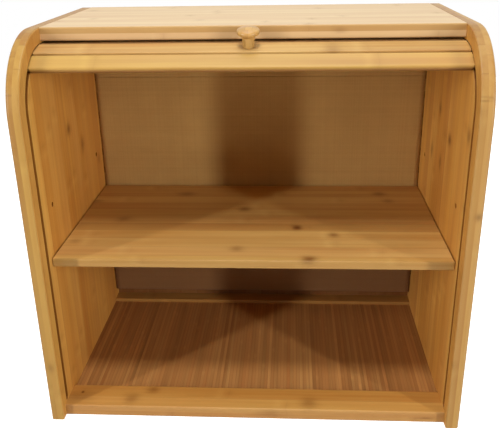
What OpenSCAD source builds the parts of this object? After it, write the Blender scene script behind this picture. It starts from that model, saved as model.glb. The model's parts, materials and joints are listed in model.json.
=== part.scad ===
// Two-tier bamboo bread box with a roll-top door, shown open.
// Millimetres. X runs left to right, Y front to back, Z up from the table.
// The origin is on the table, under the middle of the box.
// Modules are drawn with Y = 0 at the side panels' front edges, and set_down() centres them.

/* [Box] */
// Width over both side panels
box_width = 400; // [340:5:460]
// Depth from the side panels' front edges to the back
box_depth = 250; // [240:1:290]
// Height from the table to the top of the side panels
box_height = 372; // [350:1:420]

/* [Side panels] */
// Thickness of a side panel
side_thick = 12.5; // [11.5:0.5:18]
// Radius of the large round corner at the front top
front_corner_r = 70; // [62:1:85]
// Radius of the small corner at the back top
rear_corner_r = 4; // [2:0.5:8]
// Rounding along the outer front edge
outer_arris_r = 3; // [1:0.5:5]
// Rounding along the inner front edge
inner_arris_r = 1.5; // [0.5:0.5:3]

/* [Top board] */
// Thickness of the top board
top_thick = 12; // [10:0.5:16]
// How far the top board starts behind the round corner
top_setback = 1; // [0:0.5:6]

/* [Rails and floor] */
// Height of the front and rear bottom rails
rail_height = 12; // [11:0.5:18]
// Depth of the front rail
front_rail_depth = 34; // [28:1:44]
// How far the front rail stands behind the side panels' front edges
front_rail_setback = 8; // [4:0.5:12]
// Depth of the rear rail
rear_rail_depth = 25; // [23:0.5:32]
// Thickness of the floor panel
floor_thick = 3.5; // [3:0.5:5]
// How far the floor lies below the tops of the rails
floor_drop = 4; // [2:0.5:5]
// How far the floor and back panels go into their grooves
let_in = 4; // [3:0.5:6]
// Rounding of the long edges of boards
board_arris_r = 1.5; // [0.5:0.25:2.5]

/* [Back panel] */
// Thickness of the back panel
back_thick = 3; // [2.5:0.5:4]
// How far the back panel stands in from the back of the box
back_inset = 4; // [3:0.5:5]

/* [Shelf] */
// Thickness of the shelf
shelf_thick = 8.5; // [7:0.5:12]
// How far the shelf stands behind the side panels' front edges
shelf_setback = 25; // [20:1:60]
// Gap between each end of the shelf and the side panel
shelf_end_gap = 1.2; // [0.8:0.1:2]
// Gap between the back of the shelf and the canvas
shelf_back_gap = 1.6; // [1:0.1:4]

/* [Shelf pegs] */
// Diameter of a shelf peg
peg_d = 5; // [4:0.5:7]
// How far a peg goes into the side panel
peg_sunk = 8; // [6:0.5:9]
// How far a peg stands out of the side panel
peg_out = 9; // [7:0.5:12]
// Height of the lower row of pegs
peg_low_z = 154.7; // [130:0.1:180]
// Distance up to the second row of peg holes
peg_row_step = 57.8; // [40:0.1:70]
// Distance of the front pegs from the side panels' front edges
peg_front_y = 47; // [44:1:70]
// Distance of the rear pegs from the back of the box
peg_rear_inset = 44; // [35:1:80]

/* [Curtain groove] */
// Width of the groove that the curtain runs in
groove_w = 6; // [5.5:0.25:6.5]
// Depth of the groove in the side panel
groove_deep = 6; // [5:0.5:7]
// How far the groove's upper wall lies below the top board
groove_drop = 1.5; // [1:0.25:3]
// Distance from the back of the box to the middle of the groove
rear_inset = 15; // [14:0.5:20]
// Radius of the groove's middle line at the back top
rear_bend_r = 48; // [40:1:60]
// Height of the groove's front end above the front rail
groove_foot = 0.5; // [0.5:0.5:4]

/* [Curtain] */
// Thickness of a slat
slat_thick = 4.5; // [4:0.25:5]
// Gap between slats on a straight run
slat_gap = 0.4; // [0.3:0.1:1]
// Rounding of a slat's outer edges
slat_arris_r = 0.8; // [0.3:0.1:1.5]
// How far the first slat's middle has gone round the front bend
lead_reach = 12.5; // [10:0.5:16]
// Height of the last slat's lower edge above the table
tail_z = 27.5; // [24:0.5:34]
// Width of the narrow tongue at each end of a slat
tongue_w = 13; // [10:0.5:14]
// Thickness of the tongue
tongue_thick = 3.8; // [3:0.1:4]
// How far a tongue stays clear of the bottom of the groove
tongue_end_gap = 1; // [0.5:0.25:2]
// Gap between the slats' shoulders and the side panels
shoulder_gap = 0.5; // [0.3:0.1:1]

/* [Lift rail] */
// Width of the lift rail along the curtain
lift_w = 17; // [15:0.5:20]
// Thickness of the lift rail
lift_thick = 5.3; // [5.3:0.1:8]
// Rounding of the lift rail's lower outer edge
lift_round = 3; // [2:0.25:3.25]
// Rounding of its lower inner edge
lift_inner_round = 2; // [0.5:0.25:2]
// Rounding of its lower corners at both ends
lift_end_r = 2; // [1:0.5:5]
// Width of the rebate that takes the end of the canvas
lift_rebate = 6; // [4:0.5:7]

/* [Canvas] */
// Thickness of the canvas backing
canvas_thick = 0.8; // [0.5:0.1:1.2]
// Bare strip of slat at each side of the canvas
canvas_margin = 1; // [1:0.5:8]
// How far the canvas hangs below the last slat
canvas_tail = 4.5; // [0:0.5:6]

/* [Knob] */
// Diameter of the knob's head
knob_head_d = 20; // [16:0.5:22]
// Diameter of the knob's neck, under the head
knob_neck_d = 11; // [9:0.5:12]
// Diameter of the knob's foot, where it meets the slat
knob_foot_d = 10; // [8.5:0.5:12]
// Height of the knob
knob_height = 17; // [16:0.5:21]
// Thickness of the head at its rim
knob_rim = 4.8; // [3:0.2:5.4]
// Height of the head's domed top above its rim
knob_dome = 1.2; // [0.6:0.2:2]
// Height over which the neck spreads to the head
knob_spread = 2.6; // [1.5:0.1:4]
// Diameter of the knob screw's shank
screw_d = 3; // [2.5:0.5:4]
// Diameter of the knob screw's head
screw_head_d = 7; // [6:0.5:8]
// Height of the knob screw's head
screw_head_h = 2.1; // [1.5:0.1:2.8]
// How far the knob screw goes into the knob
screw_bite = 9.5; // [7:0.5:11]

/* [Dowels] */
// Diameter of a dowel
dowel_d = 6; // [5:0.5:7]
// How far a dowel goes into the side panel
dowel_sunk = 7; // [5:0.5:8]
// How far a dowel goes into the board
dowel_in_board = 20; // [14:1:26]

/* [Hidden] */
$fn = 96;

// Number of slats behind the lift rail
SLATS = 22;
// Clearance round panels in their grooves, round pegs and dowels in their holes, and over the
// pegs and the groove's end, where a piece rests or stops
panel_play = 0.1;
hole_play = 0.05;
seat_play = 0.3;
// Clearance round the knob screw where it passes through the slat and the canvas
screw_play = 0.1;
// Overhang of every cutting body past the face that it cuts
cut = 1;
// Lengthening of solids that are joined, so that they share some depth
lap = 1;

// Where the dowels stand along a board's depth, as shares of it
TOP_DOWEL_SHARES = [0.12, 0.5, 0.82];
FRONT_DOWEL_SHARES = [0.25, 0.65];
// The knob screw's head: its small diameter, and its cross recess's length, width and depth,
// as shares of the head's diameter and height
HEAD_SMALL_SHARE = 0.7;
RECESS_LENGTH_SHARE = 0.6;
RECESS_WIDTH_SHARE = 0.14;
RECESS_DEPTH_SHARE = 0.6;

inner_w = box_width - 2 * side_thick;
half_in = inner_w / 2;

groove_inset = top_thick + groove_drop + groove_w / 2;
groove_front_r = front_corner_r - groove_inset;
groove_top_z = box_height - groove_inset;
rear_line_y = box_depth - rear_inset;
// Centres of the two bends, [y, z]
front_bend = [front_corner_r, box_height - front_corner_r];
rear_bend = [rear_line_y - rear_bend_r, groove_top_z - rear_bend_r];
top_run = rear_bend[0] - front_bend[0];

// The canvas bends on the slats' inner faces, so lengths along the curtain are measured there.
// They are counted from the front end of the top run, positive towards the closed position.
canvas_front_r = groove_front_r - slat_thick / 2;
canvas_rear_r = rear_bend_r - slat_thick / 2;
front_bend_len = canvas_front_r * PI / 2;
rear_bend_len = canvas_rear_r * PI / 2;
tail_at = -(top_run + rear_bend_len + rear_bend[1] - tail_z);
slat_pitch = (lead_reach - tail_at) / (SLATS - 0.5);
slat_w = slat_pitch - slat_gap;
lift_at = lead_reach + slat_pitch / 2 + slat_gap / 2 + lift_w / 2;
tongue_len = groove_deep - tongue_end_gap;

top_z = box_height - top_thick;
top_front_y = front_corner_r + top_setback;
rear_rail_y = box_depth - rear_rail_depth;
front_rail_back_y = front_rail_setback + front_rail_depth;
floor_top_z = rail_height - floor_drop;
back_y = box_depth - back_inset - back_thick;
canvas_face_y = rear_line_y - slat_thick / 2 - canvas_thick;
shelf_bottom_z = peg_low_z + peg_d / 2 + seat_play;
shelf_depth = canvas_face_y - shelf_back_gap - shelf_setback;

// Places of the dowels at one end of each board, [y, z]
top_dowel_at = [for (share = TOP_DOWEL_SHARES)
    [top_front_y + share * (box_depth - top_front_y), top_z + top_thick / 2]];
front_dowel_at = [for (share = FRONT_DOWEL_SHARES)
    [front_rail_setback + share * front_rail_depth, rail_height / 2]];
rear_dowel_at = [[(rear_rail_y + let_in + back_y) / 2, rail_height / 2]];

// Each piece of canvas backs a run of slats that moves as one: [name, first slat, last slat]
CANVAS = [
    ["canvas_lead", 1, 1],
    ["canvas_front_bend", 2, 2],
    ["canvas_top", 3, 6],
    ["canvas_top_entry", 7, 7],
    ["canvas_rear_bend", 8, 9],
    ["canvas_rear_entry", 10, 10],
    ["canvas_back", 11, SLATS]
];

function slat_name(k) = str("slat_", k < 10 ? "0" : "", k);

bamboo = "#d9ab6b";
bamboo_pale = "#ecd5ad";
bamboo_warm = "#b9803f";
bamboo_dark = "#8a5a33";
canvas_tan = "#a5805a";
steel = "#b8b8b4";

// ---------- the line that the curtain follows ----------

// Turn of the curtain at length s: 0 on the top run, 90 facing the front, -90 facing the back
function run_turn(s) =
    s > 0 ? min(s, front_bend_len) / canvas_front_r * 180 / PI
    : s < -top_run ? max(s + top_run, -rear_bend_len) / canvas_rear_r * 180 / PI
    : 0;

// Point of the groove's middle line at length s, [y, z]
function run_point(s) =
    let (turn = run_turn(s))
    s > 0 ? front_bend + groove_front_r * [-sin(turn), cos(turn)] - [0, max(s - front_bend_len, 0)]
    : s < -top_run ? rear_bend + rear_bend_r * [-sin(turn), cos(turn)]
        + [0, min(s + top_run + rear_bend_len, 0)]
    : [front_bend[0] - s, groove_top_z];

// A tongue's two edges ride on the middle line, and half of its sagitta is shared out
function seat_point(s) =
    ((run_point(s - tongue_w / 2) + run_point(s + tongue_w / 2)) / 2 + run_point(s)) / 2;
function seat_turn(s) =
    let (chord = run_point(s - tongue_w / 2) - run_point(s + tongue_w / 2))
    atan2(chord[1], chord[0]);

// Point beside a piece, [y, z]: place is [the piece's length on the curtain, distance from its
// middle to the tail], and out is the height above its middle plane
function beside(place, out) =
    let (turn = seat_turn(place[0]))
    seat_point(place[0]) + place[1] * [cos(turn), sin(turn)] + out * [-sin(turn), cos(turn)];

function slat_at(k) = lead_reach - (k - 1) * slat_pitch;

// ---------- helpers ----------

module set_down() {
    translate([0, -box_depth / 2, 0]) children();
}

// Turns a drawing of the side view, x to Y and y to Z, so that it is extruded along X
module side_view() {
    rotate([90, 0, 90]) children();
}

// Sets a piece of the curtain at length s: its Z points out of the box, its Y to the curtain's tail
module on_run(s) {
    at = seat_point(s);
    translate([0, at[0], at[1]]) rotate([seat_turn(s), 0, 0]) children();
}

// Extrudes a drawing of a cross-section along X, centred
module across(length) {
    rotate([90, 0, 90]) linear_extrude(length, center = true) children();
}

// What a rounding of radius r takes off a square corner whose round is centred on the origin
module corner_waste(r) {
    difference() {
        square([r + cut, r + cut]);
        circle(r);
    }
}

// Rectangle with round corners, drawn from its lower left corner
module rounded_rect(w, h, r) {
    translate([r, 0]) square([w - 2 * r, h]);
    translate([0, r]) square([w, h - 2 * r]);
    for (x = [r, w - r], y = [r, h - r]) translate([x, y]) circle(r);
}

// Both mirrored halves of what stands at one end of the box
module both_ends() {
    children();
    mirror([1, 0, 0]) children();
}

// ---------- side panels ----------

// Cross-section of the panel from the bend's centre out to its rounded front edge.
// x runs outwards to the edge, y from the inner face to the outer one.
module edge_profile() {
    difference() {
        square([front_corner_r, side_thick]);
        translate([front_corner_r - outer_arris_r, side_thick - outer_arris_r])
            corner_waste(outer_arris_r);
        translate([front_corner_r - inner_arris_r, inner_arris_r])
            mirror([0, 1]) corner_waste(inner_arris_r);
    }
}

// The right panel's board before its grooves and holes, with the profiled edge carried
// up the front, round the corner and along the top
module panel_blank() {
    translate([half_in, front_bend[0], 0]) {
        rotate([0, 0, -90]) linear_extrude(front_bend[1]) edge_profile();
        translate([0, 0, front_bend[1]]) {
            side_view() rotate([0, 0, 90]) rotate_extrude(angle = 90) edge_profile();
            rotate([-90, -90, 0]) linear_extrude(box_depth - front_bend[0]) edge_profile();
        }
        translate([0, -lap, 0])
            cube([side_thick, box_depth - front_bend[0] + lap, front_bend[1] + lap]);
    }
}

// Quarter of the groove's bend, drawn in the side view with its centre on the origin.
// The quarter lies to the left of and above the centre.
module groove_quarter(r) {
    intersection() {
        difference() {
            circle(r + groove_w / 2);
            circle(r - groove_w / 2);
        }
        translate([-r - groove_w, 0]) square(r + groove_w);
    }
}

// The whole groove in the side view, with a round blind end at the foot of each straight run
module groove_outline() {
    front_x = front_bend[0] - groove_front_r;
    front_end_z = rail_height + groove_foot + groove_w / 2;
    // The last tongue is thinner than the groove, so it reaches some way into the round end
    into_end = sqrt(pow(groove_w / 2, 2) - pow(tongue_thick / 2, 2));
    rear_end_z = run_point(slat_at(SLATS))[1] - tongue_w / 2 - seat_play + into_end;
    translate(front_bend) groove_quarter(groove_front_r);
    translate(rear_bend) mirror([1, 0]) groove_quarter(rear_bend_r);
    translate([front_bend[0] - lap, groove_top_z - groove_w / 2])
        square([top_run + 2 * lap, groove_w]);
    translate([front_x - groove_w / 2, front_end_z])
        square([groove_w, front_bend[1] - front_end_z + lap]);
    translate([front_x, front_end_z]) circle(groove_w / 2);
    translate([rear_line_y - groove_w / 2, rear_end_z])
        square([groove_w, rear_bend[1] - rear_end_z + lap]);
    translate([rear_line_y, rear_end_z]) circle(groove_w / 2);
}

module side_panel() {
    difference() {
        panel_blank();
        translate([half_in - cut, 0, 0])
            side_view() linear_extrude(groove_deep + cut) groove_outline();
        translate([half_in - cut, box_depth - rear_corner_r, box_height - rear_corner_r])
            side_view() linear_extrude(side_thick + 2 * cut) corner_waste(rear_corner_r);
        floor_board(panel_play);
        back_board(panel_play);
        dowel_row(top_dowel_at, hole_play);
        dowel_row(front_dowel_at, hole_play);
        dowel_row(rear_dowel_at, hole_play);
        for (row = [0, 1]) translate([0, 0, row * peg_row_step]) peg_pair(hole_play);
    }
}

module side_panel_right() {
    color(bamboo) set_down() side_panel();
}

module side_panel_left() {
    color(bamboo) set_down() mirror([1, 0, 0]) side_panel();
}

// ---------- top board, rails, floor and back ----------

module top_board() {
    depth = box_depth - top_front_y;
    color(bamboo_pale) set_down() difference() {
        translate([0, top_front_y, top_z]) across(inner_w)
            rounded_rect(depth, top_thick, board_arris_r);
        back_board(panel_play);
        both_ends() dowel_row(top_dowel_at, hole_play);
    }
}

module front_rail() {
    color(bamboo) set_down() difference() {
        translate([0, front_rail_setback, 0]) across(inner_w)
            rounded_rect(front_rail_depth, rail_height, board_arris_r);
        floor_board(panel_play);
        both_ends() dowel_row(front_dowel_at, hole_play);
    }
}

module rear_rail() {
    color(bamboo) set_down() difference() {
        translate([0, rear_rail_y, 0]) across(inner_w)
            rounded_rect(rear_rail_depth, rail_height, board_arris_r);
        floor_board(panel_play);
        back_board(panel_play);
        both_ends() dowel_row(rear_dowel_at, hole_play);
    }
}

// The floor board, and with play its groove in the panels and rails
module floor_board(play) {
    length = inner_w + 2 * let_in - 2 * panel_play + 2 * play;
    front_y = front_rail_back_y - let_in + panel_play - play;
    back_edge_y = rear_rail_y + let_in - panel_play + play;
    translate([-length / 2, front_y, floor_top_z - floor_thick - play])
        cube([length, back_edge_y - front_y, floor_thick + 2 * play]);
}

// The back board, and with play its groove in the panels, the top board and the rear rail
module back_board(play) {
    length = inner_w + 2 * let_in - 2 * panel_play + 2 * play;
    low_z = rail_height - let_in + panel_play - play;
    high_z = top_z + let_in - panel_play + play;
    translate([-length / 2, back_y - play, low_z])
        cube([length, back_thick + 2 * play, high_z - low_z]);
}

module floor_panel() {
    color(bamboo_dark) set_down() floor_board(0);
}

module back_panel() {
    color(bamboo_warm) set_down() back_board(0);
}

// ---------- dowels ----------

// The dowels at the right end of one board, and with play their holes
module dowel_row(places, play) {
    for (at = places)
        translate([half_in - dowel_in_board - play, at[0], at[1]]) rotate([0, 90, 0])
            cylinder(d = dowel_d + 2 * play, h = dowel_in_board + dowel_sunk + 2 * play);
}

module top_dowels() {
    color(bamboo_pale) set_down() both_ends() dowel_row(top_dowel_at, 0);
}

module front_dowels() {
    color(bamboo_pale) set_down() both_ends() dowel_row(front_dowel_at, 0);
}

module rear_dowels() {
    color(bamboo_pale) set_down() both_ends() dowel_row(rear_dowel_at, 0);
}

// ---------- shelf and pegs ----------

// The right pair of pegs, and with play their holes
module peg_pair(play) {
    for (y = [peg_front_y, box_depth - peg_rear_inset])
        translate([half_in - peg_out - play, y, peg_low_z]) rotate([0, 90, 0])
            cylinder(d = peg_d + 2 * play, h = peg_out + peg_sunk + 2 * play);
}

module shelf_pegs() {
    color(bamboo_pale) set_down() both_ends() peg_pair(0);
}

module shelf() {
    color(bamboo) set_down() translate([0, shelf_setback, shelf_bottom_z])
        across(inner_w - 2 * shelf_end_gap)
            rounded_rect(shelf_depth, shelf_thick, board_arris_r);
}

// ---------- curtain ----------

// The tongue at the right end of a slat or of the lift rail
module tongue() {
    translate([half_in - shoulder_gap - lap, -tongue_w / 2, -tongue_thick / 2])
        cube([shoulder_gap + tongue_len + lap, tongue_w, tongue_thick]);
}

// Cross-section of a slat: round outer edges, square inner edges against the canvas
module slat_profile() {
    difference() {
        translate([-slat_w / 2, -slat_thick / 2]) square([slat_w, slat_thick]);
        for (side = [0, 1]) mirror([side, 0])
            translate([slat_w / 2 - slat_arris_r, slat_thick / 2 - slat_arris_r])
                corner_waste(slat_arris_r);
    }
}

module slat(k) {
    color(bamboo) set_down() on_run(slat_at(k)) difference() {
        union() {
            across(inner_w - 2 * shoulder_gap) slat_profile();
            both_ends() tongue();
        }
        if (k == 1) knob_screw_hole();
    }
}

// Cross-section of the lift rail. Its outer face is level with the slats', its lower outer edge
// is round, and a rebate at the upper inner edge takes the end of the canvas.
module lift_profile() {
    inner_z = slat_thick / 2 - lift_thick;
    difference() {
        translate([-lift_w / 2, inner_z]) square([lift_w, lift_thick]);
        translate([-lift_w / 2 + lift_round, slat_thick / 2 - lift_round])
            mirror([1, 0]) corner_waste(lift_round);
        translate([-lift_w / 2 + lift_inner_round, inner_z + lift_inner_round])
            mirror([1, 0]) mirror([0, 1]) corner_waste(lift_inner_round);
        translate([lift_w / 2 - slat_arris_r, slat_thick / 2 - slat_arris_r])
            corner_waste(slat_arris_r);
        translate([lift_w / 2 - lift_rebate, inner_z - cut])
            square([lift_rebate + cut, lift_thick - slat_thick + cut]);
    }
}

module lift_rail() {
    body_len = inner_w - 2 * shoulder_gap;
    color(bamboo) set_down() on_run(lift_at) {
        difference() {
            across(body_len) lift_profile();
            both_ends() translate([body_len / 2 - lift_end_r, -lift_w / 2 + lift_end_r, -lift_thick])
                mirror([0, 1, 0]) linear_extrude(2 * lift_thick) corner_waste(lift_end_r);
        }
        both_ends() tongue();
    }
}

// ---------- canvas ----------

// The places along a strip of canvas where it may bend, each a piece's length on the curtain
// and the distance from that piece's middle. The canvas is glued to the slats' inner faces and
// spans the gaps between them. A strip stops short of the next one, and the last hangs free.
function canvas_bends(first, last) =
    let (stop = slat_pitch / 2 - seat_play)
    concat(
        first > 1 ? [] : [[lift_at, lift_w / 2 - lift_rebate + panel_play], [lift_at, lift_w / 2]],
        [for (k = [first:last]) each [
            [slat_at(k), k == first && k > 1 ? -stop : -slat_w / 2],
            [slat_at(k), k < last ? slat_w / 2 : k < SLATS ? stop : slat_w / 2 + canvas_tail]]]
    );

module canvas_strip(strip) {
    bends = canvas_bends(strip[1], strip[2]);
    count = len(bends);
    outline = concat(
        [for (i = [0:count - 1]) beside(bends[i], -slat_thick / 2)],
        [for (i = [count - 1:-1:0]) beside(bends[i], -slat_thick / 2 - canvas_thick)]
    );
    color(canvas_tan) set_down() difference() {
        across(inner_w - 2 * canvas_margin) polygon(outline);
        if (strip[1] == 1) on_run(slat_at(1)) knob_screw_hole();
    }
}

// ---------- knob ----------

// Half of the knob's section, to be turned about its axis: a neck that widens upwards and
// spreads to the head, whose rim is round and whose top is a low dome
module knob_profile() {
    head_r = knob_head_d / 2;
    rim_r = knob_rim / 2;
    flat_r = head_r - rim_r;
    rim_top = knob_height - knob_dome;
    rim_low = rim_top - knob_rim;
    dome_r = (flat_r * flat_r + knob_dome * knob_dome) / (2 * knob_dome);
    polygon([[0, 0], [knob_foot_d / 2, 0], [knob_neck_d / 2, rim_low - knob_spread],
             [flat_r, rim_low], [flat_r, rim_top], [0, rim_top]]);
    translate([flat_r, rim_low + rim_r]) circle(rim_r);
    intersection() {
        translate([0, knob_height - dome_r]) circle(dome_r);
        translate([0, rim_top - lap]) square([flat_r, knob_dome + lap]);
    }
}

module knob() {
    color(bamboo_pale) set_down() on_run(slat_at(1)) translate([0, 0, slat_thick / 2])
        difference() {
            rotate_extrude() knob_profile();
            translate([0, 0, -cut])
                cylinder(d = screw_d + 2 * hole_play, h = screw_bite + seat_play + cut);
        }
}

// Hole for the knob screw through the first slat and its canvas
module knob_screw_hole() {
    translate([0, 0, -slat_thick]) cylinder(d = screw_d + 2 * screw_play, h = 2 * slat_thick);
}

// The screw comes from inside the box. Its head has a cross recess.
module knob_screw() {
    shank = slat_thick + canvas_thick + screw_bite;
    recess = screw_head_d * [RECESS_LENGTH_SHARE, RECESS_WIDTH_SHARE];
    color(steel) set_down() on_run(slat_at(1)) translate([0, 0, -slat_thick / 2 - canvas_thick]) {
        cylinder(d = screw_d, h = shank);
        translate([0, 0, -screw_head_h]) difference() {
            cylinder(d1 = screw_head_d * HEAD_SMALL_SHARE, d2 = screw_head_d, h = screw_head_h);
            for (turn = [0, 90]) rotate([0, 0, turn])
                translate([-recess[0] / 2, -recess[1] / 2, -cut])
                    cube([recess[0], recess[1], screw_head_h * RECESS_DEPTH_SHARE + cut]);
        }
    }
}

// ---------- assembly ----------

side_panel_left();
side_panel_right();
top_board();
front_rail();
rear_rail();
floor_panel();
back_panel();
shelf();
shelf_pegs();
top_dowels();
front_dowels();
rear_dowels();
lift_rail();
knob();
knob_screw();
for (k = [1:SLATS]) slat(k);
for (strip = CANVAS) canvas_strip(strip);
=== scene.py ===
# Two-tier bamboo bread box with a roll-top door, standing open on a white table.
import json

import bpy
import numpy as np
from mathutils import Matrix, Vector

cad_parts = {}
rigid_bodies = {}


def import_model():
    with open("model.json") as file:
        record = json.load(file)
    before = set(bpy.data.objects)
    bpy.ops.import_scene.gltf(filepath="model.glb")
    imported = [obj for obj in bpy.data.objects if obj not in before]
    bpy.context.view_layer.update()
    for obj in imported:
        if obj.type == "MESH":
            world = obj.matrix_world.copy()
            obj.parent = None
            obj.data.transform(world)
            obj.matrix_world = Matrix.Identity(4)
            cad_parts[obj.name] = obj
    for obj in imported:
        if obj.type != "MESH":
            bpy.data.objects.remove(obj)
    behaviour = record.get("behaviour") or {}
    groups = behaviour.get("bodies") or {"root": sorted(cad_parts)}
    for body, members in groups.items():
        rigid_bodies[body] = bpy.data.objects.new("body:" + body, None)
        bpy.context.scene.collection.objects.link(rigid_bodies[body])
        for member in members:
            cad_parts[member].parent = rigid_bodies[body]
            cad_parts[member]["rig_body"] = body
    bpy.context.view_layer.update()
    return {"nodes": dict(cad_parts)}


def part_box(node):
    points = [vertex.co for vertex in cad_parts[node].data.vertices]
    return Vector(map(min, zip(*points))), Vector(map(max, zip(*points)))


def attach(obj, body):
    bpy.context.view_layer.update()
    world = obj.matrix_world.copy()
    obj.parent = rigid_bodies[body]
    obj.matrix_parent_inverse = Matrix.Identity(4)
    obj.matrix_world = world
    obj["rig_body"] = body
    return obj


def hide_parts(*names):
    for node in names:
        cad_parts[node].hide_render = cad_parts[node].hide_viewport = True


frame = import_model()
nodes = frame["nodes"]
scene = bpy.context.scene

# ---------------------------------------------------------------- camera
# The camera stands in front of the box, a little to the right, and looks down on it.
# Its place and tilt were found from the corners of the box in the photograph.
CAMERA_AT = Vector((0.03624, -0.67599, 0.44730))
LOOK_DOWN, LOOK_ASIDE, LEAN = np.radians([22.257, -3.553, -1.046])
FOCAL_MM = 49.85
NEAREST = 0.01

forward = Vector((np.sin(LOOK_ASIDE) * np.cos(LOOK_DOWN), np.cos(LOOK_ASIDE) * np.cos(LOOK_DOWN),
                  -np.sin(LOOK_DOWN)))
level = Vector((np.cos(LOOK_ASIDE), -np.sin(LOOK_ASIDE), 0))
above = level.cross(forward)
right = level * np.cos(LEAN) + above * np.sin(LEAN)
up = above * np.cos(LEAN) - level * np.sin(LEAN)

camera = bpy.data.objects.new("camera", bpy.data.cameras.new("camera"))
camera.data.lens = FOCAL_MM
camera.data.clip_start = NEAREST
turned = Matrix((right, up, -forward)).transposed().to_4x4()
camera.matrix_world = Matrix.Translation(CAMERA_AT) @ turned
scene.collection.objects.link(camera)
scene.camera = camera
scene.view_settings.view_transform = "Standard"

# ---------------------------------------------------------------- lamps, table and backdrop
# Two tall narrow lamps stand in front at the left and the right, a small one hangs above the
# front, a wide one hangs overhead, and a low one stands behind. The table is white, and the
# camera sees it lifted to plain white, as the world is wherever it sees past the box.
LAMP_AWAY = 1.6
LAMP_ASIDE = np.radians(47.6)
LAMP_X, LAMP_Y = LAMP_AWAY * np.sin(LAMP_ASIDE), -LAMP_AWAY * np.cos(LAMP_ASIDE)
LAMPS = {  # place, what it faces, width, height, watts
    "lamp_left": ((-LAMP_X, LAMP_Y, 0.62), (0, 0, 0.25), 0.08, 0.8, 14.6),
    "lamp_right": ((LAMP_X, LAMP_Y, 0.50), (0, 0, 0.25), 0.08, 0.8, 13.8),
    "lamp_above_front": ((0, -0.72, 1.7), (0, 0, 0.2), 0.25, 0.25, 13),
    "lamp_overhead": ((0, 0.1, 1.9), (0, 0, 0.3), 1.0, 1.0, 13),
    "lamp_behind": ((0, 1.6, 0.21), (0, 0, 0.2), 0.8, 0.28, 7),
}
AMBIENT_COLOUR = (0.45, 0.82, 1.0, 1)
AMBIENT_STRENGTH = 0.09
PLAIN_WHITE = (1, 1, 1, 1)
TABLE_WHITE = (0.82, 0.82, 0.82, 1)
TABLE_LIFT = 0.85
TABLE_HALF = 1.6


class Nodes:
    """A node tree put together node by node. Most calls give back the new node's output."""

    def __init__(self, owner):
        owner.use_nodes = True
        self.tree = owner.node_tree

    def node(self, kind, *values, **settings):
        """A new node of that kind: links and numbers go to its sockets in their order."""
        made = self.tree.nodes.new("ShaderNode" + kind)
        for key, value in settings.items():
            setattr(made, key, value)
        for socket, value in zip(made.inputs, values):
            self.give(socket, value)
        return made

    def give(self, socket, value):
        """Links an output to a socket, or sets the socket's number."""
        if isinstance(value, bpy.types.NodeSocket):
            self.tree.links.new(value, socket)
        elif value is not None:
            socket.default_value = value

    def math(self, operation, *values):
        return self.node("Math", *values, operation=operation).outputs[0]


for name, (place, target, width, height, watts) in LAMPS.items():
    lamp = bpy.data.lights.new(name, "AREA")
    lamp.shape = "RECTANGLE"
    lamp.size, lamp.size_y, lamp.energy = width, height, watts
    stand = bpy.data.objects.new(name, lamp)
    stand.location = place
    facing = Vector(target) - Vector(place)
    stand.rotation_euler = facing.to_track_quat("-Z", "Y").to_euler()
    scene.collection.objects.link(stand)

scene.world = bpy.data.worlds.new("white_world")
backdrop = Nodes(scene.world)
backdrop.tree.nodes.clear()
ray = backdrop.node("LightPath").outputs
seen = backdrop.math("MAXIMUM", ray["Is Camera Ray"], ray["Is Glossy Ray"])
seen = backdrop.math("MAXIMUM", seen, ray["Is Transmission Ray"])
ambient = backdrop.node("Background", AMBIENT_COLOUR, AMBIENT_STRENGTH).outputs[0]
plain = backdrop.node("Background", PLAIN_WHITE).outputs[0]
backdrop.node("OutputWorld", backdrop.node("MixShader", seen, ambient, plain).outputs[0])

table_mesh = bpy.data.meshes.new("table_top")
table_corners = [(x * TABLE_HALF, y * TABLE_HALF, 0)
                 for x, y in ((-1, -1), (1, -1), (1, 1), (-1, 1))]
table_mesh.from_pydata(table_corners, [], [(0, 1, 2, 3)])
table = bpy.data.objects.new("table_top", table_mesh)
scene.collection.objects.link(table)
table_white = bpy.data.materials.new("table_white")
surface = Nodes(table_white)
surface.tree.nodes.clear()
ray = surface.node("LightPath").outputs
matt = surface.node("BsdfDiffuse", TABLE_WHITE).outputs[0]
lift = surface.math("MULTIPLY", ray["Is Camera Ray"], TABLE_LIFT)
glow = surface.node("Emission", None, lift).outputs[0]
surface.node("OutputMaterial", surface.node("AddShader", matt, glow).outputs[0])
table_mesh.materials.append(table_white)

# ---------------------------------------------------------------- side panels
# Each side is one board of strip-laminated bamboo in two plies, with the grain upright, cut to
# the round front corner, routed for the curtain and finished with a satin lacquer.

# Sizes are in metres, but PLY_SHIFT and NODE_WIDE are shares of a strip's width. Each strip is
# taken from its own place in CULM_SPREAD metres of culm.
STRIP_WIDTH = 0.019
PLY_THICK = 0.0066
PLY_SHIFT = 0.43
SEAM_HALF = 0.0005
SEAM_SHARE = 0.25
CULM_LENGTH = 0.24
CULM_SPREAD = 3.0
NODE_WANDER = 0.006
NODE_LONG, NODE_WIDE = 0.0048, 0.26
RING_LONG = 0.0007
HALO_AWAY, HALO_LONG = 0.009, 0.004
KNOT_DEEP = 0.004
MARK = "6A3505"
REDDISH = "B4703A"
LACQUER = 0.08
LACQUER_ROUGHNESS = 0.28
WOOD_GLOSS = 0.28
WOOD_ROUGHNESS = 0.45
WOOD_RELIEF = 0.0001


def colour(code):
    """Linear colour of a six-digit sRGB code."""
    value = np.array([int(code[i:i + 2], 16) for i in (0, 2, 4)]) / 255
    return (*np.where(value <= 0.04045, value / 12.92, ((value + 0.055) / 1.055) ** 2.4), 1.0)


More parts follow.
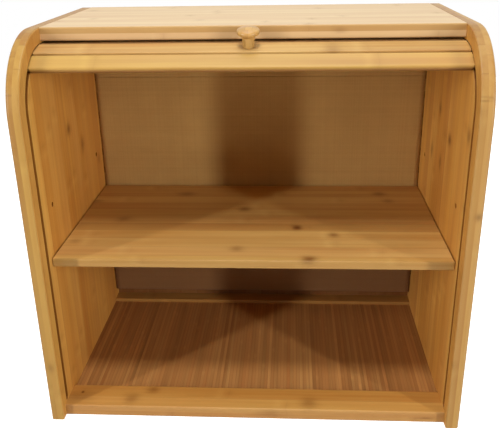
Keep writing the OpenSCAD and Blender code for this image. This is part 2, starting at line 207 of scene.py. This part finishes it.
class Finish(Nodes):
    """A material's node tree, with the steps that the finishes have in common."""

    def __init__(self, name, roughness, coat=0.0, gloss=0.5):
        self.material = bpy.data.materials.new(name)
        super().__init__(self.material)
        self.shader = self.tree.nodes["Principled BSDF"]
        self.shader.inputs["Roughness"].default_value = roughness
        self.shader.inputs["Coat Weight"].default_value = coat
        self.shader.inputs["Coat Roughness"].default_value = LACQUER_ROUGHNESS
        self.shader.inputs["Specular IOR Level"].default_value = gloss

    def mix(self, share, first, second, blend="MIX"):
        """The colour that goes from first to second as share goes from 0 to 1."""
        made = self.node("Mix", data_type="RGBA", blend_type=blend)
        for key, value in ((0, share), (6, first), (7, second)):
            self.give(made.inputs[key], value)
        return made.outputs[2]

    def axes(self, vector):
        return list(self.node("SeparateXYZ", vector).outputs)

    def combine(self, *values):
        return self.node("CombineXYZ", *values).outputs[0]

    def vector(self, operation, *values):
        return self.node("VectorMath", *values, operation=operation).outputs[0]

    def clamp(self, value):
        return self.node("Clamp", value).outputs[0]

    def ramp(self, value, start, end):
        """Goes from 0 at start to 1 at end, and stays level beyond them."""
        return self.node("MapRange", value, start, end, 0.0, 1.0).outputs[0]

    def remainder(self, share):
        """What a share leaves of 1."""
        return self.math("SUBTRACT", 1.0, share)

    def noise(self, vector, detail=2.0, roughness=0.5):
        """Smooth noise round 0, from about -0.5 to 0.5."""
        made = self.node("TexNoise", vector)
        made.inputs["Scale"].default_value = 1.0
        made.inputs["Detail"].default_value = detail
        made.inputs["Roughness"].default_value = roughness
        return self.math("SUBTRACT", made.outputs[0], 0.5)

    def chance(self, *values):
        """The outputs of a number and a colour drawn afresh for each set of whole numbers."""
        return self.node("TexWhiteNoise", self.combine(*values), noise_dimensions="3D").outputs

    def bell(self, distance, width):
        """exp(-(distance / width) squared)."""
        share = self.math("DIVIDE", distance, width)
        squared = self.math("MULTIPLY", share, share)
        return self.math("EXPONENT", self.math("MULTIPLY", squared, -1.0))

    def total(self, start, *terms):
        """start plus each output times its weight."""
        for output, weight in terms:
            start = self.math("MULTIPLY_ADD", output, weight, start)
        return start

    def done(self, base, height, depth, roughness=None):
        """Joins the colour, and a bump whose height from 0 to 1 is depth metres."""
        bump = self.node("Bump")
        bump.inputs["Distance"].default_value = depth
        self.give(bump.inputs["Height"], height)
        self.give(self.shader.inputs["Base Color"], base)
        self.give(self.shader.inputs["Normal"], bump.outputs[0])
        if roughness is not None:
            self.give(self.shader.inputs["Roughness"], roughness)
        return self.material


def bamboo(name, grain, across, through, pale, deep, seed, ply_at, ply_thick=PLY_THICK,
           strip_width=STRIP_WIDTH, strip_at=0.0, variety=0.55, marks=0.5, dark_spots=(), tones=None,
           coat=LACQUER, roughness=WOOD_ROUGHNESS):
    """Strip-laminated bamboo. The grain runs along one axis, the strips lie side by side across a
    second one and the plies through the third. Each strip has its own tone and its own place of the
    culm's nodes, where a brown patch and a thin line cross it. Further brown spots may be given,
    each a place, its reach along x, y and z, and how dark it is: knots, and on the front rail one
    painted shadow. tones are shades worked into the colour; some are the wood's own and some are
    painted shade."""
    f = Finish(name, roughness, coat, WOOD_GLOSS)
    place = f.node("TexCoord").outputs["Object"]
    xyz = dict(zip("XYZ", f.axes(place)))
    g, s, p = xyz[grain], xyz[across], xyz[through]
    ply = f.math("FLOOR", f.math("DIVIDE", f.math("SUBTRACT", p, ply_at), ply_thick))
    lane = f.math("DIVIDE", f.math("SUBTRACT", s, strip_at), strip_width)
    lane = f.math("MULTIPLY_ADD", ply, PLY_SHIFT, lane)
    strip = f.math("FLOOR", lane)
    beside = f.math("SUBTRACT", f.math("FRACT", lane), 0.5)
    shift, tone, warmth = f.axes(f.chance(strip, ply, seed + 0.5)["Color"])
    along = f.math("MULTIPLY_ADD", shift, CULM_SPREAD, g)

    def streaks(per_metre_along, per_metre_across, detail=2.0, roughness=0.5):
        """Noise drawn out along the grain."""
        drawn_out = f.combine(f.math("MULTIPLY", along, per_metre_along),
                              f.math("MULTIPLY", s, per_metre_across),
                              f.math("MULTIPLY", p, per_metre_across))
        return f.noise(drawn_out, detail, roughness)

    fibres = streaks(16.0, 1300.0, 3.0, 0.65)
    flecks = streaks(90.0, 420.0)
    streak = streaks(3.0, 230.0)
    cloud = streaks(5.0, 60.0)
    warm_cloud = streaks(4.0, 38.0)

    culm = f.math("FRACT", f.math("DIVIDE", along, CULM_LENGTH))
    off = f.math("MULTIPLY", f.math("SUBTRACT", culm, 0.5), CULM_LENGTH)
    off = f.math("MULTIPLY_ADD", cloud, NODE_WANDER, off)
    patch = f.math("MULTIPLY", f.bell(off, NODE_LONG), f.bell(beside, NODE_WIDE))
    patch = f.math("MULTIPLY", patch, f.total(0.8, (streak, 1.2), (flecks, 0.9)))
    ring = f.bell(off, RING_LONG)
    halo = f.bell(f.math("ADD", off, HALO_AWAY), HALO_LONG)

    amount = f.total(0.5 - 0.5 * variety, (tone, variety), (fibres, 0.30), (streak, 0.62),
                     (cloud, 0.95), (halo, 0.12))
    base = f.mix(f.clamp(amount), colour(deep), colour(pale))
    reddish = f.total(0.10, (f.math("POWER", warmth, 3.0), 0.25), (warm_cloud, 0.75))
    base = f.mix(f.clamp(reddish), base, colour(REDDISH))
    spots = f.math("MULTIPLY", f.total(0.0, (patch, 0.62), (ring, 0.18)), marks)
    ragged = f.total(1.0, (flecks, 1.5), (streak, 0.8))
    for spot_at, reach, darkness in dark_spots:
        away = f.vector("DIVIDE", f.vector("SUBTRACT", place, spot_at), reach)
        far = f.node("VectorMath", away, away, operation="DOT_PRODUCT").outputs["Value"]
        spot = f.math("EXPONENT", f.math("MULTIPLY", f.math("MULTIPLY", far, ragged), -1.0))
        spots = f.math("MULTIPLY_ADD", spot, darkness, spots)
    base = f.mix(f.clamp(spots), base, colour(MARK))
    seam = f.ramp(f.math("ABSOLUTE", beside), 0.5 - SEAM_HALF / strip_width, 0.5)
    base = f.mix(f.math("MULTIPLY", seam, SEAM_SHARE), base, colour(MARK))
    for share, shade in tones(f, xyz) if tones else ():
        base = f.mix(share, base, colour(shade), "MULTIPLY")
    height = f.total(0.5, (fibres, 0.5), (seam, -0.4), (patch, -0.2))
    rough = f.total(roughness, (fibres, 0.12), (cloud, 0.10), (patch, 0.06))
    return f.done(base, height, WOOD_RELIEF, rough)


def paint(material, *names):
    """Gives CAD pieces that material."""
    for name in names:
        nodes[name].data.materials[0] = material


def knots_on(axis, at, *rows):
    """Knots on the face that an axis meets there. Each row has the place along the other two
    axes, the reach along them, and how dark the knot is."""
    return [((*row[:axis], at, *row[axis:2]), (*row[2:2 + axis], KNOT_DEEP, *row[2 + axis:4]),
             row[4]) for row in rows]


# Where the shades of a side panel fade in: first the distances from the middle of the box, then
# those in from the panel's outline, whose front corner is an arc about CORNER_AT.
ARRIS = (0.18755, 0.1880)
GROOVE_MOUTH = (0.18765, 0.1880)
PLY_JOINT = (0.1935, 0.1941)
GROOVE_FLOOR = (0.1948, 0.1952)
OUTER_FACE = (0.1990, 0.1997)
EDGE_END = (0.0012, 0.0024)
GROOVE_START = (0.0095, 0.0115)
BAND_END = (0.018, 0.024)
CORNER_AT = (-0.055, 0.302)
CORNER_R = 0.070


def side_tones(edge, outer_ply, inner_ply):
    """Shades of a side panel. Every face but the inner one is sanded after the lacquer. The groove
    is raw and brown, and its brown is deepened further as painted shade in the recess. Behind it
    the inner face is a little deeper than the band in front of it."""
    def tones(f, xyz):
        beside = f.math("ABSOLUTE", xyz["X"])
        ahead = f.math("MAXIMUM", f.math("SUBTRACT", CORNER_AT[0], xyz["Y"]), 0.0)
        over = f.math("MAXIMUM", f.math("SUBTRACT", xyz["Z"], CORNER_AT[1]), 0.0)
        from_corner = f.math("SQRT", f.total(0.0, (ahead, ahead), (over, over)))
        depth = f.math("SUBTRACT", CORNER_R, from_corner)
        at_edge = f.remainder(f.ramp(depth, *EDGE_END))
        sanded = f.math("MULTIPLY", f.ramp(beside, *ARRIS), at_edge)
        sanded = f.math("MAXIMUM", sanded, f.ramp(beside, *OUTER_FACE))
        in_groove = f.math("MULTIPLY", f.ramp(beside, *GROOVE_MOUTH),
                           f.remainder(f.ramp(beside, *GROOVE_FLOOR)))
        in_groove = f.math("MULTIPLY", in_groove, f.ramp(depth, *GROOVE_START))
        outer = f.math("MULTIPLY", at_edge, f.ramp(beside, *PLY_JOINT))
        inner = f.math("SUBTRACT", at_edge, outer)
        behind = f.ramp(depth, *BAND_END)
        band = f.math("MULTIPLY", f.remainder(behind), f.remainder(sanded))
        # The groove's shade A88C62 is partly the raw wood and partly painted shade in the recess.
        return [(sanded, edge), (in_groove, "A88C62"), (outer, outer_ply), (inner, inner_ply),
                (behind, "F8F2EC"), (band, "ECE7E2")]
    return tones


SIDE_LOOK = dict(grain="Z", across="Y", through="X", pale="E8B55C", deep="C07E2E", variety=0.38,
                 marks=0.2)
LEFT_KNOTS = (knots_on(0, -0.1875,
                       (-0.0065, 0.2662, 0.0065, 0.0060, 0.75),
                       (0.0336, 0.2387, 0.0060, 0.0085, 0.60),
                       (0.0900, 0.2050, 0.0050, 0.0060, 0.40))
              + knots_on(1, -0.1250, (-0.1930, 0.0610, 0.003, 0.0050, 0.35)))
RIGHT_KNOTS = (knots_on(0, 0.1875,
                        (0.0204, 0.2795, 0.0055, 0.0060, 0.60),
                        (-0.0308, 0.2616, 0.0060, 0.0050, 0.80),
                        (0.0450, 0.2292, 0.0055, 0.0080, 0.55),
                        (0.0013, 0.2291, 0.0050, 0.0070, 0.60),
                        (-0.0982, 0.2838, 0.0060, 0.0065, 0.55))
               + knots_on(1, -0.1250,
                          (0.1904, 0.3199, 0.005, 0.0009, 0.55),
                          (0.1904, 0.3229, 0.005, 0.0009, 0.45),
                          (0.1959, 0.2206, 0.003, 0.0035, 0.50)))
paint(bamboo("bamboo_side_left_finish", **SIDE_LOOK, seed=1, ply_at=-0.19375, strip_at=0.004,
             tones=side_tones("CCD0C8", "F4F1EC", "FFFFFF"), dark_spots=LEFT_KNOTS), "side_panel_left")
paint(bamboo("bamboo_side_right_finish", **SIDE_LOOK, seed=5, ply_at=0.19375, strip_at=0.011,
             tones=side_tones("D6E0F4", "FFFFFF", "F0EAE4"), dark_spots=RIGHT_KNOTS), "side_panel_right")

# ---------------------------------------------------------------- top board
# A board of the same two-ply bamboo with the grain from left to right, set down between the
# sides on glued dowels, pale where the light from above falls on it.
FRONT_EDGE_END = (0.0016, 0.0004)
TONE_FADE = 0.0002
TOP_Z = 0.372


def front_tone(front_y, shade, upper=None):
    """The front edge of a board is sanded strip sides, a little darker than its face. Its upper
    ply may have a height from which it begins and a shade of its own."""
    def tones(f, xyz):
        front = f.ramp(xyz["Y"], *(front_y + end for end in FRONT_EDGE_END))
        if upper is None:
            return [(front, shade)]
        above_joint = f.ramp(xyz["Z"], upper[0] - TONE_FADE, upper[0] + TONE_FADE)
        return [(front, shade), (f.math("MULTIPLY", front, above_joint), upper[1])]
    return tones


TOP_KNOTS = (knots_on(2, TOP_Z, (-0.0486, -0.0109, 0.0050, 0.0045, 0.22))
             + knots_on(1, -0.0540, (0.0790, 0.3672, 0.0060, 0.0030, 0.25)))
paint(bamboo("bamboo_top_finish", "X", "Y", "Z", pale="DFC497", deep="D3B17E", seed=9,
             ply_at=0.366, variety=0.30, marks=0.35, dark_spots=TOP_KNOTS,
             tones=front_tone(-0.054, "F2E8DC", upper=(0.3662, "DED2B4"))), "top_board")

# ---------------------------------------------------------------- rails and floor
# The front and rear rails are narrow bamboo boards between the sides. A thin veneered panel
# with its grain from front to back is let into them and makes the floor.
RAIL_FRONT = -0.117
# From here back, the rear rail gets painted shade.
REAR_HALF = (0.0, 0.01)


def rail_tones_and_rear_shade(f, xyz):
    """The front rail's front edge, and the rear rail, darkened as painted shade where it stands in
    the shade behind the curtain.
    """
    return front_tone(RAIL_FRONT, "E4E3ED")(f, xyz) + [(f.ramp(xyz["Y"], *REAR_HALF), "ECEEF8")]


RAIL_KNOTS_AND_SHADOW = [((-0.1032, -0.0895, 0.012), (0.0065, 0.0060, 0.004), 0.55),
              ((-0.1230, -0.1045, 0.012), (0.0075, 0.0085, 0.005), 0.45),
              ((0.0560, -0.1060, 0.012), (0.0085, 0.0090, 0.005), 0.45),
              ((0.0190, RAIL_FRONT, 0.007), (0.0120, 0.0030, 0.005), 0.30),
              ((-0.1754, -0.0958, 0.012), (0.0012, 0.0016, 0.002), 0.95),
              # This wide soft dark patch at the rail's left end is a painted shadow of the left
              # side panel.
              ((-0.1790, -0.1030, 0.012), (0.0170, 0.0110, 0.003), 0.42),
              ((0.1700, RAIL_FRONT, 0.005), (0.0080, 0.0030, 0.0015), 0.45)]
paint(bamboo("bamboo_rail_finish", "X", "Y", "Z", pale="CE9D52", deep="AB702A", seed=13,
             ply_at=0.006, strip_width=0.017, marks=0.3, dark_spots=RAIL_KNOTS_AND_SHADOW, tones=rail_tones_and_rear_shade),
      "front_rail", "rear_rail")
paint(bamboo("floor_veneer_finish", "Y", "X", "Z", pale="C49052", deep="80522A", seed=17,
             ply_at=-0.01, ply_thick=0.05, strip_width=0.0034, variety=0.30, marks=0.0, coat=0.03),
      "floor_panel")

# ---------------------------------------------------------------- back panel
# A thin plywood panel let into the sides, the top board and the rear rail closes the box behind
# the curtain.
BACK_FADE = 0.0003
back_low, back_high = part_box("back_panel")
back_middle = (back_low[1] + back_high[1]) / 2


def inside_painted_shade(f, xyz):
    """The inner face, inside the box, is darker than the outer one: painted shade."""
    return [(f.ramp(xyz["Y"], back_middle + BACK_FADE, back_middle - BACK_FADE), "B8A494")]


paint(bamboo("back_ply_finish", "Z", "X", "Y", pale="CFA26A", deep="AE7C45", seed=21, ply_at=0.05,
             ply_thick=0.08, strip_width=0.021, tones=inside_painted_shade), "back_panel")

# ---------------------------------------------------------------- dowels and pegs
# Round pegs of pale hardwood, left bare. Glued dowels hold the boards together, and four loose
# pegs in the sides' drilled holes carry the shelf.
paint(bamboo("peg_wood_finish", "X", "Y", "Z", pale="E2BE88", deep="C79B60", seed=25,
             ply_at=-0.0011, ply_thick=0.05, strip_width=0.05, marks=0.0, coat=0.0, roughness=0.6),
      "shelf_pegs", "top_dowels", "front_dowels", "rear_dowels")

# ---------------------------------------------------------------- shelf
# A loose two-ply bamboo board with the grain from left to right, lacquered like the sides. It
# lies on its four pegs and is drawn out over them.
SHELF_FRONT = -0.100
SHELF_TOP = 0.166
DARK_STRIP = (-0.0315, -0.0119)


def shelf_tones_and_rear_shade(f, xyz):
    """The shelf's front edge; its rear part darker, partly the deeper tone of its strips and partly
    painted shade deeper in the box; and the deepest strip of all, with which that part begins."""
    rear, past = (f.ramp(xyz["Y"], at - TONE_FADE, at + TONE_FADE) for at in DARK_STRIP)
    return front_tone(SHELF_FRONT, "D4CEC0")(f, xyz) + [
        (rear, "F8F5F0"), (f.math("SUBTRACT", rear, past), "EAE2D6")]


SHELF_KNOTS = knots_on(2, SHELF_TOP,
                       (-0.1405, -0.0017, 0.0080, 0.0075, 0.45),
                       (-0.0835, 0.0751, 0.0100, 0.0070, 0.50),
                       (-0.0133, 0.0288, 0.0070, 0.0075, 0.65),
                       (-0.0147, -0.0742, 0.0065, 0.0065, 0.45),
                       (0.1386, 0.0773, 0.0070, 0.0070, 0.55),
                       (0.1460, 0.0550, 0.0060, 0.0060, 0.40),
                       (0.0437, -0.0220, 0.0050, 0.0060, 0.95),
                       (0.0804, -0.0401, 0.0055, 0.0055, 0.55),
                       (0.0542, -0.0955, 0.0070, 0.0055, 0.80),
                       (-0.1849, 0.0513, 0.0090, 0.0050, 0.45),
                       (-0.1768, -0.0592, 0.0060, 0.0050, 0.35))
paint(bamboo("bamboo_shelf_finish", "X", "Y", "Z", pale="DDB86F", deep="B8843E", seed=29,
             ply_at=0.1618, ply_thick=0.0044, strip_width=0.0196, strip_at=-0.0707, variety=0.42,
             marks=0.15, dark_spots=SHELF_KNOTS, tones=shelf_tones_and_rear_shade), "shelf")

# ---------------------------------------------------------------- lift rail and slats
# Long narrow bamboo strips with the grain from end to end and tongues that run in the grooves.
# The lift rail leads the curtain; each slat is one strip of the culm.
ONE_STRIP = dict(grain="X", across="Y", through="Z", ply_at=-0.01, ply_thick=0.4,
                 strip_width=0.4, strip_at=-0.2)
SLAT_FINISHES = 4
LIFT_LOW_EDGE = (0.0050, 0.0015)
FIRST_SLAT_DARK, FIRST_SLAT_END = (-0.0042, -0.0020), (0.0006, 0.0008)
lift_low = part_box("lift_rail")[0][2]
first_slat_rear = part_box("slat_01")[1][1]
slat_names = sorted(name for name in nodes if name.startswith("slat_"))


def lift_underside_shade(f, xyz):
    """The lift rail's rounded lower edge, which faces down, is darkened as painted shade."""
    return [(f.ramp(xyz["Z"], *(lift_low + end for end in LIFT_LOW_EDGE)), "B49C88")]


def first_slat_arris_shade(f, xyz):
    """The first slat's rear arris gets painted shade where it passes under the top board, standing
    for the dark gap under the board's edge.
    """
    rise, fall = (f.ramp(xyz["Y"], first_slat_rear + start, first_slat_rear + end)
                  for start, end in (FIRST_SLAT_DARK, FIRST_SLAT_END))
    return [(f.math("SUBTRACT", rise, fall), "74481E")]


paint(bamboo("bamboo_lift_finish", **ONE_STRIP, pale="C8AA53", deep="896424", seed=33, marks=0.3,
             dark_spots=[((0.0301, -0.105, 0.3467), (0.0060, 0.0050, 0.0060), 0.35)],
             tones=lift_underside_shade), "lift_rail")
first_slat_look = dict(marks=0.2, tones=first_slat_arris_shade,
                       dark_spots=[((0.0715, -0.085, 0.3566), (0.0070, 0.0200, 0.0080), 0.50)])
for turn in range(SLAT_FINISHES):
    slat_look = dict(marks=0.8) if turn else first_slat_look
    paint(bamboo(f"bamboo_slat_finish_{turn + 1}", **ONE_STRIP, pale="DAB975", deep="A57437",
                 seed=37 + turn, **slat_look), *slat_names[turn::SLAT_FINISHES])

# ---------------------------------------------------------------- knob
# A turned knob of pale bamboo, lacquered a little glossier than the boards. It stands on the
# first slat and is held by a steel screw through the slat from inside.
SCRATCHES_PER_METRE = (2500, 2500, 2500)
SCRATCH_DEPTH = 0.00003
STEEL_ROUGHNESS = 0.3
paint(bamboo("bamboo_knob_finish", "Z", "X", "Y", pale="CFA65E", deep="986E30", seed=41,
             ply_at=0.0011, ply_thick=0.006, strip_width=0.006, variety=0.3, marks=0.0, coat=0.3,
             roughness=0.4), "knob")
steel = Finish("screw_steel_finish", STEEL_ROUGHNESS)
steel.shader.inputs["Metallic"].default_value = 1.0
scratched = steel.vector("MULTIPLY", steel.node("TexCoord").outputs["Object"], SCRATCHES_PER_METRE)
scratch = steel.noise(scratched, 3.0)
steel_tone = steel.mix(steel.math("ADD", scratch, 0.5), colour("A9A9A4"), colour("CFCFCA"))
paint(steel.done(steel_tone, scratch, SCRATCH_DEPTH), "knob_screw")

# ---------------------------------------------------------------- canvas
# Plain-woven cotton canvas, glued to the inner faces of the slats so that the curtain can bend.
# Its edges are cut straight and left raw, and it dips a little where it crosses each gap. It is
# one strip on the real box, and here one for each run of slats that moves together.
CANVAS_RUNS = {"canvas_lead": (1, 1), "canvas_front_bend": (2, 2), "canvas_top": (3, 6),
               "canvas_top_entry": (7, 7), "canvas_rear_bend": (8, 9),
               "canvas_rear_entry": (10, 10), "canvas_back": (11, 22)}
CANVAS_BODY = {name: nodes[name]["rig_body"] for name in CANVAS_RUNS}
CANVAS_HALF = 0.1869
CANVAS_THICK = 0.0008

# How far a strip reaches past its outermost slats: a tail behind slat_22, a trifle elsewhere.
STRIP_OVER = 0.0001
FRONT_END_OVER = {"slat_11": 0.00017}
REAR_END_OVER = {"slat_10": 0.00017, "slat_22": 0.0045}

# The lift rail's rebate and the slats' thickness, then the shape of the cloth and of its weave.
LIFT_HALF = 0.0085
LIFT_LAP = 0.0059
SLAT_HALF_THICK = 0.00225
GAP_DIP, GAP_SPREAD, GAP_AHEAD = 0.00018, 0.0016, 0.0002
SWELL, SWELL_ACROSS, SWELL_ALONG = 0.00005, 6.6, 120
ROW_STEP, LEAST_ROWS, COLUMNS = 0.0011, 8, 60
MAP_STEP = 0.01
THREAD = 0.0009
THREAD_RELIEF = 0.00025
PATCHES_PER_THREAD = 0.02
CANVAS_ROUGHNESS, CANVAS_GLOSS, CANVAS_SHEEN = 0.85, 0.30, 0.08
# Where the painted shade below the shelf fades in, and how much of it there is.
LOWER_SHADE_START, LOWER_SHADE_SHARE = (0.168, 0.150), 0.75


def vertices(name):
    """The places of a CAD node's vertices."""
    mesh = nodes[name].data
    found = np.empty(3 * len(mesh.vertices))
    mesh.vertices.foreach_get("co", found)
    return found.reshape(-1, 3)


def seat(name):
    """A slat's middle and its directions towards the tail and outwards, as [y, z]. The end face of
    its tongue is a rectangle about the middle, whose longer side gives the slat's direction."""
    found = vertices(name)
    tongue = np.abs(found[:, 0]) > np.abs(found[:, 0]).max() - 1e-5
    corners = np.unique(np.round(found[tongue][:, 1:], 6), axis=0)
    sides = corners - corners[0]
    ahead = sides[np.argsort(np.linalg.norm(sides, axis=1))[2]]
    ahead *= np.sign(ahead[0] - ahead[1]) / np.linalg.norm(ahead)
    return corners.mean(0), ahead, np.array([-ahead[1], ahead[0]])


def inner_edge(name):
    """Ends of a slat's inner face in the side view, [y, z], front one first."""
    middle, ahead, outward = seat(name)
    found = vertices(name)[:, 1:] - middle
    half_width, half_thick = (np.abs(found @ way).max() for way in (ahead, outward))
    return [middle + end * half_width * ahead - half_thick * outward for end in (-1, 1)]


def lift_ledge():
    """Ends of the rebate under the lift rail's rear edge, where the canvas is glued on."""
    middle, ahead, outward = seat("lift_rail")
    return [middle + reach * ahead - SLAT_HALF_THICK * outward
            for reach in (LIFT_HALF - LIFT_LAP, LIFT_HALF)]


def unit(way):
    return way / np.linalg.norm(way)


def canvas_path(slats):
    """Corners of a strip's outer face in the side view, [y, z]: the inner corners of its slats,
    and in front of the first slat the lift rail's ledge. Its ends reach a little over the gaps to
    the next strips, and the last one has a tail."""
    corners = np.array([inner_edge(name) for name in slats]).reshape(-1, 2)
    ahead, behind = unit(corners[1] - corners[0]), unit(corners[-1] - corners[-2])
    corners[0] -= ahead * FRONT_END_OVER.get(slats[0], STRIP_OVER)
    corners[-1] += behind * REAR_END_OVER.get(slats[-1], STRIP_OVER)
    return np.concatenate([lift_ledge(), corners]) if slats[0] == "slat_01" else corners


def canvas_points(path, far, seed):
    """Points of a strip's outer face and then of its inner one, with their places on the flat
    cloth. The inner face lies one thickness in, less a dip at each gap and with a slight swell."""
    s = np.linspace(0, far[-1], max(LEAST_ROWS, int(far[-1] / ROW_STEP)))
    y, z = np.interp(s, far, path[:, 0]), np.interp(s, far, path[:, 1])
    tangent = np.stack([np.gradient(y, s), np.gradient(z, s)], 1)
    tangent /= np.linalg.norm(tangent, axis=1)[:, None]
    inward = np.stack([tangent[:, 1], -tangent[:, 0]], 1)
    gaps = far[2:-1:2] - GAP_AHEAD
    dip = sum((np.exp(-((s - gap) / GAP_SPREAD) ** 2) for gap in gaps), np.zeros_like(s))
    u, v = np.meshgrid(np.linspace(-CANVAS_HALF, CANVAS_HALF, COLUMNS), s)
    rng = np.random.default_rng(seed)
    swell = sum(rng.normal(0, SWELL)
                * np.sin(k * SWELL_ACROSS * u / CANVAS_HALF + rng.uniform(0, 6))
                * np.sin(k * SWELL_ALONG * v + rng.uniform(0, 6)) for k in range(1, 5))
    thick = CANVAS_THICK - GAP_DIP * dip[:, None] + swell
    outer = np.stack([u, np.broadcast_to(y[:, None], u.shape),
                      np.broadcast_to(z[:, None], u.shape)], 2)
    inner = outer.copy()
    inner[:, :, 1:] += inward[:, None] * thick[:, :, None]
    flat = np.stack([u.ravel(), v.ravel() + MAP_STEP * seed], 1)
    return np.concatenate([outer.reshape(-1, 3), inner.reshape(-1, 3)]), np.tile(flat, (2, 1))


def shell_faces(rows, columns):
    """Faces of a closed shell between two grids of points, of which the outer one comes first."""
    index = np.arange(rows * columns).reshape(rows, columns)
    quads = np.stack([index[:-1, :-1], index[:-1, 1:], index[1:, 1:], index[1:, :-1]], 2)
    quads = quads.reshape(-1, 4)
    rim = np.concatenate([index[0, :-1], index[:-1, -1], index[-1, :0:-1], index[:0:-1, 0]])
    after = np.roll(rim, -1)
    walls = np.stack([rim, after, after + index.size, rim + index.size], 1)
    return np.concatenate([quads[:, ::-1], quads + index.size, walls])


def weave(name):
    """Plain weave on the piece's own map in metres: at each crossing one thread lies on top, as on
    a chessboard, and each thread is a rounded ridge with its own tone. Below the shelf the cloth is
    deeper and browner, as painted shade of the lower compartment."""
    f = Finish(name, CANVAS_ROUGHNESS, gloss=CANVAS_GLOSS)
    f.shader.inputs["Sheen Weight"].default_value = CANVAS_SHEEN
    u, v, _ = f.axes(f.node("UVMap").outputs[0])
    u, v = f.math("DIVIDE", u, THREAD), f.math("DIVIDE", v, THREAD)
    column, row = f.math("FLOOR", u), f.math("FLOOR", v)
    warp_on_top = f.math("FLOORED_MODULO", f.math("ADD", column, row), 2.0)
    ridge_u, ridge_v = (f.math("ABSOLUTE", f.math("SINE", f.math("MULTIPLY", way, float(np.pi))))
                        for way in (u, v))
    height = f.total(0.0, (f.math("MULTIPLY", ridge_u, warp_on_top), 1.0),
                     (f.math("MULTIPLY", ridge_v, f.remainder(warp_on_top)), 1.0))
    slub_u, slub_v = f.chance(column, 0.5, 0.5)[0], f.chance(0.5, row, 7.5)[0]
    patchy = f.noise(f.combine(f.math("MULTIPLY", u, PATCHES_PER_THREAD),
                               f.math("MULTIPLY", v, PATCHES_PER_THREAD)), 3.0)
    tone = f.total(0.15, (height, 0.40), (slub_u, 0.12), (slub_v, 0.12), (patchy, 0.6))
    base = f.mix(f.clamp(tone), colour("B28647"), colour("D6AA64"))
    # Painted shade: below the shelf the cloth is mixed towards a dark brown.
    shade_below_shelf = f.ramp(f.axes(f.node("TexCoord").outputs["Object"])[2], *LOWER_SHADE_START)
    base = f.mix(f.math("MULTIPLY", shade_below_shelf, LOWER_SHADE_SHARE), base, colour("784C2F"))
    return f.done(base, height, THREAD_RELIEF)


canvas_finish = weave("canvas_finish")
for name, (first, last) in CANVAS_RUNS.items():
    slats = [f"slat_{k:02d}" for k in range(first, last + 1)]
    path = canvas_path(slats)
    far = np.concatenate([[0], np.cumsum(np.linalg.norm(np.diff(path, axis=0), axis=1))])
    points, flat = canvas_points(path, far, first)
    mesh = bpy.data.meshes.new(name + "_cloth")
    faces = shell_faces(len(points) // 2 // COLUMNS, COLUMNS)
    mesh.from_pydata(points.tolist(), [], faces.tolist())
    mesh.polygons.foreach_set("use_smooth", np.ones(len(mesh.polygons), bool))
    loops = np.empty(len(mesh.loops), int)
    mesh.loops.foreach_get("vertex_index", loops)
    mesh.uv_layers.new(name="cut").data.foreach_set("uv", flat[loops].ravel())
    mesh.materials.append(canvas_finish)
    piece = bpy.data.objects.new(name + "_cloth", mesh)
    scene.collection.objects.link(piece)
    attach(piece, CANVAS_BODY[name])
    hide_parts(name)
